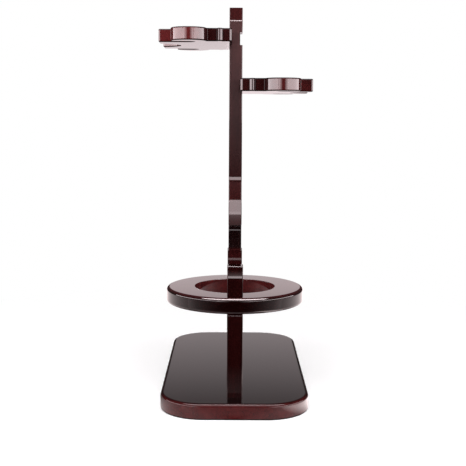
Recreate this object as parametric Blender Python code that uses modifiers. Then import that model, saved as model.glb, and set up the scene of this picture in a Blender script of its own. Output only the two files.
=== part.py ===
"""A lacquered mahogany shaving stand: base board, bowl ring on two legs, fretsawn upright, two holder plates.

Metres, +Z up, +X right and +Y back. The origin is the middle of the base board's underside.
"""

import math

import bmesh
import bpy
from mathutils import Matrix, Vector

MM = 0.001

# Space left for the glue between pieces that touch
GLUE = 0.3 * MM

# Points closer than this are one point
WELD = 0.001 * MM

# Base board, sawn from 12 mm stock
BASE_WIDTH = 112 * MM
BASE_DEPTH = 230 * MM
STOCK = 12 * MM
BASE_CORNER = 33 * MM
BASE_ROUND = 2.5 * MM

# Bowl ring, turned from the same stock
RING_RADIUS = 53.7 * MM
RING_HOLE = 31.4 * MM
RING_UNDERSIDE = 74 * MM
RING_TOP = RING_UNDERSIDE + STOCK
RING_ROUND = 2.2 * MM
RING_BAND = (RING_RADIUS + RING_HOLE) / 2

# Posts on the ring: the rear one stands over the middle of the base, and the ring's band is centred on both
REAR_POST_Y = 0.0
RING_Y = REAR_POST_Y - RING_BAND
FRONT_POST_Y = RING_Y - RING_BAND
POST_THICKNESS = 11.7 * MM
POST_WIDTH = 16 * MM
POST_ROUND = 0.7 * MM

# Legs under the ring: flush with the posts towards the hole, and a little proud of the ring outside
LEG_WIDTH = 22.6 * MM
LEG_SHIFT = (LEG_WIDTH - POST_WIDTH) / 2

# Cap of the front post: a block, a hollow on each edge that starts at a slope, and a square tip
CAP_BLOCK_TOP = 100.4 * MM
CAP_SLOPE = 45
CAP_TOP = 109.3 * MM
CAP_TIP_ROUND = 0.9 * MM

# Upright: heights from the floor, half widths from its centre line
SHAFT_THICKNESS = 10.6 * MM
FOOT_THICKNESS = 11.9 * MM
SHAFT_HALF = 9.5 * MM
FOOT_TOP = 101.3 * MM
FOOT_BLOCK_FOOT = 103.0 * MM
FOOT_BLOCK_HALF = 8.7 * MM
NECK_FOOT = 109.3 * MM
NECK_HALF = 5.8 * MM
LIP_HALF = 21 * MM
LIP_FLAT = 2.4 * MM
LIP_Z = 131.6 * MM
OVOLO_RADIUS = 22.4 * MM
WAIST_HALF = 9.4 * MM
BEAD_FOOT = 165.75 * MM
BEAD_HALF = 10.8 * MM
BEAD_NOSE = 1.25 * MM
BEAD_SLOPE = 28
SHOULDER_Z = 295.2 * MM
FINIAL_HALF = 6.2 * MM
FINIAL_TOP = 305 * MM
UPRIGHT_ROUND = 0.6 * MM
SHOULDER_ROUND = 2.2 * MM

# Holder plates: u runs out from the upright, v along the plate from its centre line
HOLDER_THICKNESS = 10 * MM
UPPER_HOLDER_Z = 275.4 * MM
LOWER_HOLDER_Z = 238 * MM
HOUSING_DEPTH = 2 * MM
HOLDER_NECK_V = 45.8 * MM
HOLDER_FLAT_V = 46.4 * MM
HOLDER_BEAD_U = 12.3 * MM
HOLDER_BEAD_RADIUS = 2 * MM
LOBE_U = 36.1 * MM
LOBE_V = 46 * MM
LOBE_RADIUS = 13.9 * MM
COVE_RADIUS = 0.8 * MM
SLOT_WIDTH = 10 * MM
SLOT_FOOT_U = 32 * MM
TINE_TIP_U = 60 * MM
TINE_CORNER = 1 * MM
NOTCH_HALF = 17.5 * MM
NOTCH_DEPTH = 15 * MM
HOLDER_CORNER = 2 * MM
HOLDER_ROUND = 0.5 * MM

# Hidden joinery
POST_DOWEL_RADIUS = 2.5 * MM
POST_DOWEL_BELOW = 14 * MM
POST_DOWEL_ABOVE = 11 * MM
POST_DOWEL_SPACING = 8 * MM
HOLDER_DOWEL_RADIUS = 2 * MM
HOLDER_DOWEL_SPACING = 10 * MM
HOLDER_DOWEL_IN_SHAFT = 4 * MM
HOLDER_DOWEL_IN_PLATE = 14 * MM
SCREW_RADIUS = 1.45 * MM
SCREW_HEAD_RADIUS = 2.8 * MM
SCREW_HEAD_HEIGHT = 1.9 * MM
SCREW_RIM = 0.3 * MM
SCREW_LENGTH = 34 * MM
SCREW_TIP = 3.5 * MM
SCREW_SUNK = 0.6 * MM
SCREW_SPACING = 9 * MM


def clear_scene():
    """Empties the scene and makes a collection for the pieces and one for what cuts them."""
    for old in list(bpy.data.objects):
        bpy.data.objects.remove(old)
    made = []
    for name in ("razor_stand", "razor_stand_cutters"):
        collection = bpy.data.collections.new(name)
        bpy.context.scene.collection.children.link(collection)
        made.append(collection)
    return made


PIECES, CUTTERS = clear_scene()


def finish(name, colour, roughness, metallic=0.0, coat=0.0):
    """A Principled material with one colour, given as display values from 0 to 255."""
    material = bpy.data.materials.new(name)
    material.use_nodes = True
    shader = material.node_tree.nodes["Principled BSDF"]
    linear = [(channel / 255) ** 2.2 for channel in colour]
    shader.inputs["Base Color"].default_value = (*linear, 1)
    shader.inputs["Roughness"].default_value = roughness
    shader.inputs["Metallic"].default_value = metallic
    shader.inputs["Coat Weight"].default_value = coat
    return material


def lacquer(name, colour=(66, 22, 20)):
    """Dark mahogany stain under a glossy clear lacquer."""
    return finish(name + "_lacquer", colour, 0.3, coat=1.0)


def new_object(name, mesh, collection=PIECES, material=None):
    """An object that holds the mesh, smooth on its round stretches."""
    obj = bpy.data.objects.new(name, mesh)
    collection.objects.link(obj)
    mesh.shade_smooth()
    mesh.set_sharp_from_angle(angle=math.radians(35))
    if material:
        mesh.materials.append(material)
    return obj


def arc(centre, radius, start, end, steps):
    """Points of an arc, with its angles in degrees."""
    points = []
    for step in range(steps + 1):
        angle = math.radians(start + (end - start) * step / steps)
        points.append((centre[0] + radius * math.cos(angle), centre[1] + radius * math.sin(angle)))
    return points


def mirrored(half):
    """A closed outline from the half of it that lies at positive second coordinates."""
    return half + [(u, -v) for u, v in reversed(half)]


def sawn_mesh(name, outline, thickness, edge_round, segments=2):
    """A flat outline sawn from a board, centred on its plane, with its edges rounded over."""
    curve = bpy.data.curves.new(name, "CURVE")
    curve.dimensions = "2D"
    curve.fill_mode = "BOTH"
    curve.extrude = thickness / 2 - edge_round
    curve.bevel_depth = edge_round
    curve.bevel_resolution = segments - 1
    curve.offset = -edge_round
    spline = curve.splines.new("POLY")
    spline.points.add(len(outline) - 1)
    for point, (x, y) in zip(spline.points, outline):
        point.co = (x, y, 0, 1)
    spline.use_cyclic_u = True
    source = bpy.data.objects.new(name, curve)
    CUTTERS.objects.link(source)
    graph = bpy.context.evaluated_depsgraph_get()
    mesh = bpy.data.meshes.new_from_object(source.evaluated_get(graph))
    bpy.data.objects.remove(source)
    mesh.name = name
    body = bmesh.new()
    body.from_mesh(mesh)
    bmesh.ops.remove_doubles(body, verts=body.verts, dist=WELD)
    bmesh.ops.recalc_face_normals(body, faces=body.faces)
    for side in (-1, 1):
        flat = [face for face in body.faces if face.normal.z * side > 0.999]
        bmesh.ops.dissolve_faces(body, faces=flat)
    body.to_mesh(mesh)
    body.free()
    return mesh


def turn(mesh, matrix):
    """Places a mesh by a matrix, keeping its faces outwards."""
    mesh.transform(matrix)
    if matrix.to_3x3().determinant() < 0:
        mesh.flip_normals()
    return mesh


def round_over(obj, width, segments=3):
    """Rounds every edge of a plain block."""
    bevel = obj.modifiers.new("round_over", "BEVEL")
    bevel.width = width
    bevel.segments = segments
    bevel.limit_method = "ANGLE"
    bevel.angle_limit = math.radians(50)


def cut(obj, cutter):
    """Takes the cutter out of the object."""
    cutter.hide_render = True
    cutter.display_type = "WIRE"
    boolean = obj.modifiers.new("cut_" + cutter.name, "BOOLEAN")
    boolean.operation = "DIFFERENCE"
    boolean.object = cutter


def block_mesh(name, low, high):
    """A box between two corners."""
    body = bmesh.new()
    size = [top - bottom for bottom, top in zip(low, high)]
    middle = [(top + bottom) / 2 for bottom, top in zip(low, high)]
    bmesh.ops.create_cube(body, size=1, matrix=Matrix.Translation(middle) @ Matrix.Diagonal((*size, 1)))
    mesh = bpy.data.meshes.new(name)
    body.to_mesh(mesh)
    body.free()
    return mesh


def rod_mesh(name, start, end, radius, sides=24):
    """A round rod between two points."""
    axis = Vector(end) - Vector(start)
    # Half a side's turn keeps the rod's corners off the stand's planes of symmetry
    turned = axis.to_track_quat("Z", "Y").to_matrix().to_4x4() @ Matrix.Rotation(math.pi / sides, 4, "Z")
    middle = Matrix.Translation((Vector(start) + Vector(end)) / 2)
    body = bmesh.new()
    bmesh.ops.create_cone(
        body,
        cap_ends=True,
        segments=sides,
        radius1=radius,
        radius2=radius,
        depth=axis.length,
        matrix=middle @ turned,
    )
    mesh = bpy.data.meshes.new(name)
    body.to_mesh(mesh)
    body.free()
    return mesh


def turned_object(name, profile, steps, collection=PIECES, material=None, closed=False):
    """A profile of radius and height, listed down its outer side, turned about the object's Z axis."""
    mesh = bpy.data.meshes.new(name)
    body = bmesh.new()
    points = [body.verts.new((radius, 0, height)) for radius, height in profile]
    for first, second in zip(points, points[1:] + points[:1] if closed else points[1:]):
        body.edges.new((first, second))
    body.to_mesh(mesh)
    body.free()
    obj = new_object(name, mesh, collection, material)
    screw = obj.modifiers.new("turn", "SCREW")
    screw.steps = steps
    screw.render_steps = steps
    screw.use_merge_vertices = True
    screw.merge_threshold = WELD
    screw.use_smooth_shade = True
    return obj


def dowel(name, start, end, radius, *bored):
    """A beech dowel, and its glue-filled bore in each piece that it joins."""
    beech = finish(name + "_beech", (196, 160, 118), 0.7)
    new_object(name, rod_mesh(name, start, end, radius), PIECES, beech)
    along = (Vector(end) - Vector(start)).normalized() * GLUE
    bore_mesh = rod_mesh(name + "_bore", Vector(start) - along, Vector(end) + along, radius + GLUE)
    bore = new_object(name + "_bore", bore_mesh, CUTTERS)
    for piece in bored:
        cut(piece, bore)


def base_board():
    """The board that everything stands on, with wide round corners and a rounded edge."""
    across = BASE_WIDTH / 2 - BASE_CORNER
    along = BASE_DEPTH / 2 - BASE_CORNER
    corners = ((across, along), (-across, along), (-across, -along), (across, -along))
    outline = []
    for quarter, corner in enumerate(corners):
        outline += arc(corner, BASE_CORNER, 90 * quarter, 90 * quarter + 90, 14)
    mesh = sawn_mesh("base_board", outline, STOCK, BASE_ROUND, 4)
    mesh.transform(Matrix.Translation((0, 0, STOCK / 2)))
    return new_object("base_board", mesh, PIECES, lacquer("base_board", (84, 38, 38)))


def leg(name, y):
    """An oblong leg from the base to the ring's underside."""
    low = (-POST_THICKNESS / 2, y - LEG_WIDTH / 2, STOCK + GLUE)
    high = (POST_THICKNESS / 2, y + LEG_WIDTH / 2, RING_UNDERSIDE - GLUE)
    post = new_object(name, block_mesh(name, low, high), PIECES, lacquer(name))
    round_over(post, POST_ROUND)
    return post


def bowl_ring():
    """The turned ring that the shaving bowl drops into, rounded on its four edges."""
    high = STOCK / 2 - RING_ROUND
    outer = RING_RADIUS - RING_ROUND
    inner = RING_HOLE + RING_ROUND
    profile = []
    for quarter, corner in enumerate(((outer, high), (outer, -high), (inner, -high), (inner, high))):
        profile += arc(corner, RING_ROUND, 90 - 90 * quarter, -90 * quarter, 3)
    ring = turned_object("bowl_ring", profile, 84, PIECES, lacquer("bowl_ring", (84, 38, 38)), closed=True)
    ring.location = (0, RING_Y, RING_UNDERSIDE + STOCK / 2)
    return ring


def front_cap():
    """The short post on the ring's front: a block that is hollowed on both edges up to a square tip."""
    wide = POST_WIDTH / 2
    narrow = POST_THICKNESS / 2
    hollow = (wide - narrow) / (1 - math.cos(math.radians(CAP_SLOPE)))
    tip_foot = CAP_BLOCK_TOP + hollow * math.sin(math.radians(CAP_SLOPE))
    half = [(RING_TOP + GLUE, wide)]
    half += arc((tip_foot, narrow + hollow), hollow, 270 - CAP_SLOPE, 270, 6)
    half += arc((CAP_TOP - CAP_TIP_ROUND, narrow - CAP_TIP_ROUND), CAP_TIP_ROUND, 90, 0, 4)
    mesh = sawn_mesh("front_cap", mirrored(half), POST_THICKNESS, POST_ROUND)
    return new_object("front_cap", turn(mesh, sawn_upright(FRONT_POST_Y)), PIECES, lacquer("front_cap"))


def sawn_upright(y):
    """Stands a sawn outline up: its first coordinate is the height, its second runs along Y."""
    return Matrix(((0, 0, 1, 0), (0, 1, 0, y), (1, 0, 0, 0), (0, 0, 0, 1)))


def urn_half():
    """Half of the upright's baluster: neck, undercut lip, ovolo up to the waist, and a sloped bead."""
    cove = LIP_HALF - LIP_FLAT - NECK_HALF
    half = [(NECK_FOOT - STOCK, NECK_HALF)]
    half += arc((LIP_Z - cove, NECK_HALF + cove), cove, -90, 0, 8)
    # The ovolo starts upright at the lip and leans in until it meets the waist
    lean = math.degrees(math.acos(1 - (LIP_HALF - WAIST_HALF) / OVOLO_RADIUS))
    half += arc((LIP_Z, LIP_HALF - OVOLO_RADIUS), OVOLO_RADIUS, 90, 90 - lean, 12)
    half.append((BEAD_FOOT, WAIST_HALF))
    # The bead is nosed below, and slopes back to the shaft above its nose
    half += arc((BEAD_FOOT + BEAD_NOSE, BEAD_HALF - BEAD_NOSE), BEAD_NOSE, 180, 90 - BEAD_SLOPE, 5)
    nose_z, nose_v = half[-1]
    half.append((nose_z + (nose_v - SHAFT_HALF) / math.tan(math.radians(BEAD_SLOPE)), SHAFT_HALF))
    return half


def upright():
    """The tall flat upright, fretsawn on its edges, on a slightly thicker stepped foot."""
    half = urn_half()
    half += arc((SHOULDER_Z - SHOULDER_ROUND, SHAFT_HALF - SHOULDER_ROUND), SHOULDER_ROUND, 90, 0, 4)
    half.append((SHOULDER_Z, FINIAL_HALF))
    half += arc((FINIAL_TOP - SHOULDER_ROUND, FINIAL_HALF - SHOULDER_ROUND), SHOULDER_ROUND, 90, 0, 4)
    stand = sawn_upright(REAR_POST_Y)
    mesh = turn(sawn_mesh("upright", mirrored(half), SHAFT_THICKNESS, UPRIGHT_ROUND, 3), stand)
    post = new_object("upright", mesh, PIECES, lacquer("upright", (74, 36, 36)))
    foot_half = [
        (RING_TOP + GLUE, SHAFT_HALF),
        (FOOT_TOP, SHAFT_HALF),
        (FOOT_BLOCK_FOOT, FOOT_BLOCK_HALF),
        (NECK_FOOT, FOOT_BLOCK_HALF),
    ]
    foot_mesh = turn(sawn_mesh("upright_foot", mirrored(foot_half), FOOT_THICKNESS, POST_ROUND), stand)
    foot = new_object("upright_foot", foot_mesh, CUTTERS)
    foot.hide_render = True
    foot.display_type = "WIRE"
    joined = post.modifiers.new("join_foot", "BOOLEAN")
    joined.operation = "UNION"
    joined.object = foot
    return post


def holder_half():
    """Half of a holder plate's plan: neck, bead, cove, round lobe, razor slot, tine and half the notch."""
    inner = SHAFT_THICKNESS / 2 - HOUSING_DEPTH + GLUE
    half = arc((inner + HOLDER_CORNER, HOLDER_NECK_V - HOLDER_CORNER), HOLDER_CORNER, 180, 90, 4)
    half.append((HOLDER_BEAD_U - HOLDER_BEAD_RADIUS, HOLDER_NECK_V))
    half += arc((HOLDER_BEAD_U, HOLDER_FLAT_V), HOLDER_BEAD_RADIUS, 180, 0, 8)
    # The cove's circle touches the lobe's, and its lowest point lies on the flat beside the bead
    reach = LOBE_RADIUS + COVE_RADIUS
    rise = HOLDER_FLAT_V + COVE_RADIUS - LOBE_V
    lean = math.degrees(math.asin(rise / reach))
    cove = (LOBE_U - reach * math.cos(math.radians(lean)), HOLDER_FLAT_V + COVE_RADIUS)
    half += arc(cove, COVE_RADIUS, 270, 360 - lean, 4)
    half += arc((LOBE_U, LOBE_V), LOBE_RADIUS, 180 - lean, 0, 20)[1:]
    slot = SLOT_WIDTH / 2
    half += arc((SLOT_FOOT_U + slot, LOBE_V - slot), slot, 90, 270, 10)
    tine = LOBE_V - SLOT_WIDTH
    half += arc((TINE_TIP_U - TINE_CORNER, tine - TINE_CORNER), TINE_CORNER, 90, 0, 4)
    notch = (NOTCH_HALF**2 + NOTCH_DEPTH**2) / (2 * NOTCH_DEPTH)
    notch_u = TINE_TIP_U - NOTCH_DEPTH + notch
    opening = math.degrees(math.acos((TINE_TIP_U - notch_u) / notch))
    # The last point stops just short of the centre line, so that the mirrored half starts beside it
    half += arc((notch_u, 0), notch, opening, 180 - 180 / 40, 12)
    return half


def holder(name, side, underside):
    """A plate let into one face of the upright; side is -1 for the left face and 1 for the right."""
    mesh = sawn_mesh(name, mirrored(holder_half()), HOLDER_THICKNESS, HOLDER_ROUND)
    middle = Matrix.Translation((0, REAR_POST_Y, underside + HOLDER_THICKNESS / 2))
    turn(mesh, middle @ Matrix.Diagonal((side, 1, 1, 1)))
    return new_object(name, mesh, PIECES, lacquer(name, (80, 26, 26)))


def housing(post, name, side, underside):
    """A shallow groove across one face of the upright, as wide as a holder plate is thick."""
    face = SHAFT_THICKNESS / 2
    deep, out = sorted((side * (face - HOUSING_DEPTH), side * 2 * face))
    low = (deep, REAR_POST_Y - 2 * SHAFT_HALF, underside - GLUE)
    high = (out, REAR_POST_Y + 2 * SHAFT_HALF, underside + HOLDER_THICKNESS + GLUE)
    cut(post, new_object(name, block_mesh(name, low, high), CUTTERS))


def leg_screw(name, y, board, post):
    """A countersunk screw driven up through the base into a leg, its head just below the surface."""
    shape = [
        (0, SCREW_LENGTH),
        (SCREW_RADIUS, SCREW_LENGTH - SCREW_TIP),
        (SCREW_RADIUS, SCREW_HEAD_HEIGHT),
        (SCREW_HEAD_RADIUS, SCREW_RIM),
        (SCREW_HEAD_RADIUS, 0),
        (0, 0),
    ]
    hole = [
        (0, SCREW_LENGTH + GLUE),
        (SCREW_RADIUS + GLUE, SCREW_LENGTH + GLUE),
        (SCREW_RADIUS + GLUE, SCREW_HEAD_HEIGHT),
        (SCREW_HEAD_RADIUS + GLUE, SCREW_RIM),
        (SCREW_HEAD_RADIUS + GLUE, -2 * SCREW_SUNK),
        (0, -2 * SCREW_SUNK),
    ]
    zinc = finish(name + "_zinc", (188, 184, 172), 0.35, metallic=1.0)
    screw = turned_object(name, shape, 20, PIECES, zinc)
    bore = turned_object(name + "_bore", hole, 20, CUTTERS)
    for made in (screw, bore):
        made.location = (0, y, SCREW_SUNK)
    cut(board, bore)
    cut(post, bore)


def pair(spacing):
    """Offsets of two like fasteners about a centre."""
    return (("near", -spacing / 2), ("far", spacing / 2))


def assemble():
    """Builds the pieces from the base up and bores them for their screws and dowels."""
    board = base_board()
    front_leg = leg("front_leg", FRONT_POST_Y - LEG_SHIFT)
    rear_leg = leg("rear_leg", REAR_POST_Y + LEG_SHIFT)
    ring = bowl_ring()
    cap = front_cap()
    post = upright()
    housing(post, "upper_housing", -1, UPPER_HOLDER_Z)
    housing(post, "spare_housing", 1, UPPER_HOLDER_Z)
    housing(post, "lower_housing", 1, LOWER_HOLDER_Z)
    upper = holder("upper_holder", -1, UPPER_HOLDER_Z)
    lower = holder("lower_holder", 1, LOWER_HOLDER_Z)
    posts = (
        ("front", FRONT_POST_Y, -LEG_SHIFT, front_leg, cap),
        ("rear", REAR_POST_Y, LEG_SHIFT, rear_leg, post),
    )
    for place, y, shift, below, above in posts:
        for end, offset in pair(SCREW_SPACING):
            leg_screw(f"{place}_leg_screw_{end}", y + shift + offset, board, below)
        for end, offset in pair(POST_DOWEL_SPACING):
            start = (0, y + offset, RING_UNDERSIDE - POST_DOWEL_BELOW)
            stop = (0, y + offset, RING_TOP + POST_DOWEL_ABOVE)
            dowel(f"{place}_post_dowel_{end}", start, stop, POST_DOWEL_RADIUS, below, ring, above)
    plates = (("upper", -1, upper, UPPER_HOLDER_Z), ("lower", 1, lower, LOWER_HOLDER_Z))
    for name, side, plate, underside in plates:
        z = underside + HOLDER_THICKNESS / 2
        seat = side * (SHAFT_THICKNESS / 2 - HOUSING_DEPTH)
        for end, offset in pair(HOLDER_DOWEL_SPACING):
            start = (seat - side * HOLDER_DOWEL_IN_SHAFT, REAR_POST_Y + offset, z)
            stop = (seat + side * HOLDER_DOWEL_IN_PLATE, REAR_POST_Y + offset, z)
            dowel(f"{name}_holder_dowel_{end}", start, stop, HOLDER_DOWEL_RADIUS, post, plate)


assemble()
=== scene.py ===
"""A lacquered mahogany shaving stand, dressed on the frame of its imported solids.

Metres, +Z up, +X right and +Y back. The origin is the middle of the base board's underside.
"""

import math

import bmesh
import bpy
from mathutils import Matrix, Vector


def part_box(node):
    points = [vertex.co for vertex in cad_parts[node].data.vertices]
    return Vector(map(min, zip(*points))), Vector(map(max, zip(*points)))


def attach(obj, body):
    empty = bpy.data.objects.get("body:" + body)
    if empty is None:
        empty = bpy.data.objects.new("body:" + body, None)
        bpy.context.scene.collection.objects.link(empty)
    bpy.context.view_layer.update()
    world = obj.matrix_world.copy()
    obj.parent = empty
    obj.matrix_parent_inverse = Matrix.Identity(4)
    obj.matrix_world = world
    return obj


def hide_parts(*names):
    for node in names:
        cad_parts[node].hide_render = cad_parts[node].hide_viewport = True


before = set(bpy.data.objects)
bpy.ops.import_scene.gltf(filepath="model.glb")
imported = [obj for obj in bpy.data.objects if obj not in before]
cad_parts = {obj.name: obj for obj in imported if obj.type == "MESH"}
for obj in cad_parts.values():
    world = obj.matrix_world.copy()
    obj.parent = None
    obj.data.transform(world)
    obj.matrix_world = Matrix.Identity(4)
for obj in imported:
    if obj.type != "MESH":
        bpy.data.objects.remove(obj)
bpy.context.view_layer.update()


# Base board
# A long mahogany board that carries everything, its corners sawn to wide quarter circles and its edges
# rounded over. It is stained dark red along the grain, and lacquered to a gloss like the rest.
MM = 0.001
BASE_CORNER = 33 * MM
BASE_ROUND = 2.5 * MM
BASE_FOOT_ROUND = 1.2 * MM
BASE_SHADED_MARGIN = 5 * MM
BASE_SHADED_FOOT = 0.9 * BASE_FOOT_ROUND
SCREW_HEAD_HEIGHT = 1.9 * MM
SCREW_RADIUS = 1.45 * MM
SCREW_CLEARANCE = 0.3 * MM
DRILL_RUN_IN = 2 * MM
GRAIN_STRETCH = 16
STAIN_UNIT = 4
PAINTED_SHEEN_UNIT = 0.2
PAINTED_SHEEN_EDGE_POWER = 12
COAT_IOR = 1.6
base_low, base_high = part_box("base_board")


def arc(centre, radius, start, end, steps):
    """Points of an arc, with its angles in degrees."""
    points = []
    for step in range(steps + 1):
        angle = math.radians(start + (end - start) * step / steps)
        points.append((centre[0] + radius * math.cos(angle), centre[1] + radius * math.sin(angle)))
    return points


def round_cornered(half_x, half_y, radius, steps):
    """The outline of a rectangle whose corners are quarter circles."""
    x, y = half_x - radius, half_y - radius
    outline = []
    for quarter, corner in enumerate(((x, y), (-x, y), (-x, -y), (x, -y))):
        outline += arc(corner, radius, 90 * quarter, 90 * quarter + 90, steps)
    return outline


def outward(outline):
    """How each corner of an anticlockwise outline moves when its sides move out by one."""
    moves = []
    for before, here, after in zip(outline[-1:] + outline[:-1], outline, outline[1:] + outline[:1]):
        come = Vector((here[1] - before[1], before[0] - here[0])).normalized()
        leave = Vector((after[1] - here[1], here[0] - after[0])).normalized()
        moves.append((come + leave) / (1 + come.dot(leave)))
    return moves


def sawn_board(name, outline, thickness, rounds, steps=6):
    """An outline sawn from a board and centred on its plane, the arrises of its two faces rounded over.

    The attribute sawn is 1 on the sawn edge and 0 on the faces.
    """
    area = sum(a[0] * b[1] - b[0] * a[1] for a, b in zip(outline, outline[1:] + outline[:1]))
    if area < 0:
        outline = outline[::-1]
    moves = outward(outline)
    body = bmesh.new()
    sawn = body.verts.layers.float.new("sawn")
    loops = []
    for side, edge_round in zip((-1, 1), rounds):
        quarter = [math.pi / 2 * step / steps for step in range(steps + 1)]
        for angle in quarter[::side]:
            inset = edge_round * (1 - math.cos(angle))
            height = side * (thickness / 2 - edge_round * (1 - math.sin(angle)))
            loop = []
            for point, move in zip(outline, moves):
                vert = body.verts.new((point[0] - move.x * inset, point[1] - move.y * inset, height))
                vert[sawn] = math.cos(angle)
                loop.append(vert)
            loops.append(loop)
    for lower, upper in zip(loops, loops[1:]):
        for here in range(len(outline)):
            after = (here + 1) % len(outline)
            body.faces.new((lower[here], lower[after], upper[after], upper[here]))
    body.faces.new(loops[0][::-1])
    body.faces.new(loops[-1])
    mesh = bpy.data.meshes.new(name)
    body.to_mesh(mesh)
    body.free()
    return mesh


def mark_dulled(mesh, chosen):
    """Marks as dulled the chosen places of a board: the lacquer there is thin and the stain has its own
    strength.

    What chooses is given each place and whether it is on the sawn edge. These marks paint shade on the
    base's foot and in the plates' coves, and light on the wall of the ring's hole.
    """
    mesh.attributes.new("bare", "FLOAT", "POINT")
    edge_marks, dulled_marks = mesh.attributes["sawn"].data, mesh.attributes["bare"].data
    for vert, edge_mark, dulled_mark in zip(mesh.vertices, edge_marks, dulled_marks):
        dulled_mark.value = float(chosen(vert.co, edge_mark.value > 0.1))


def made_piece(name, mesh, material):
    """An object at the origin that holds the mesh, in one material."""
    piece = bpy.data.objects.new(name, mesh)
    bpy.context.scene.collection.objects.link(piece)
    mesh.materials.clear()
    mesh.materials.append(material)
    return piece


def bored(piece, start, end, radius, sides=32):
    """Bores a round hole between two points, as a drill does."""
    axis = Vector(end) - Vector(start)
    turned = axis.to_track_quat("Z", "Y").to_matrix().to_4x4() @ Matrix.Rotation(math.pi / sides, 4, "Z")
    place = Matrix.Translation((Vector(start) + Vector(end)) / 2) @ turned
    body = bmesh.new()
    bmesh.ops.create_cone(
        body, cap_ends=True, segments=sides, radius1=radius, radius2=radius, depth=axis.length, matrix=place
    )
    drill_mesh = bpy.data.meshes.new(piece.name + "_drill")
    body.to_mesh(drill_mesh)
    body.free()
    cut_with(piece, drill_mesh)


def cut_with(piece, cutter_mesh, operation="DIFFERENCE"):
    """Takes a mesh out of the piece, or joins it on, and keeps the result as a plain mesh."""
    cutter = bpy.data.objects.new(cutter_mesh.name, cutter_mesh)
    bpy.context.scene.collection.objects.link(cutter)
    boolean = piece.modifiers.new("cut", "BOOLEAN")
    boolean.operation = operation
    boolean.object = cutter
    settle(piece)
    bpy.data.objects.remove(cutter)


def settle(piece):
    """Turns the piece with its modifiers into a plain mesh."""
    graph = bpy.context.evaluated_depsgraph_get()
    mesh = bpy.data.meshes.new_from_object(piece.evaluated_get(graph))
    piece.modifiers.clear()
    piece.data = mesh


def polished(piece, sharp=40):
    """Smooth over the round-overs, with flat faces that stay flat and crisp inner corners."""
    piece.data.shade_smooth()
    piece.data.set_sharp_from_angle(angle=math.radians(sharp))
    weighted = piece.modifiers.new("flat_faces", "WEIGHTED_NORMAL")
    weighted.weight = 80
    weighted.keep_sharp = True
    settle(piece)


def node(tree, kind, inputs=(), **settings):
    """Adds a node with its settings, and with values or links on its named or numbered inputs."""
    made = tree.nodes.new(kind)
    for setting, value in settings.items():
        setattr(made, setting, value)
    for socket, value in dict(inputs).items():
        if isinstance(value, bpy.types.NodeSocket):
            tree.links.new(value, made.inputs[socket])
        else:
            made.inputs[socket].default_value = value
    return made


def sum_of(tree, first, second, operation="ADD"):
    """The result of a sum of two sockets or values."""
    return node(tree, "ShaderNodeMath", {0: first, 1: second}, operation=operation).outputs["Value"]


def scaled(tree, value, low, high, to_low, to_high):
    """A value mapped from one range to another, and held at its ends."""
    sizes = {"Value": value, "From Min": low, "From Max": high, "To Min": to_low, "To Max": to_high}
    return node(tree, "ShaderNodeMapRange", sizes).outputs["Result"]


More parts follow.
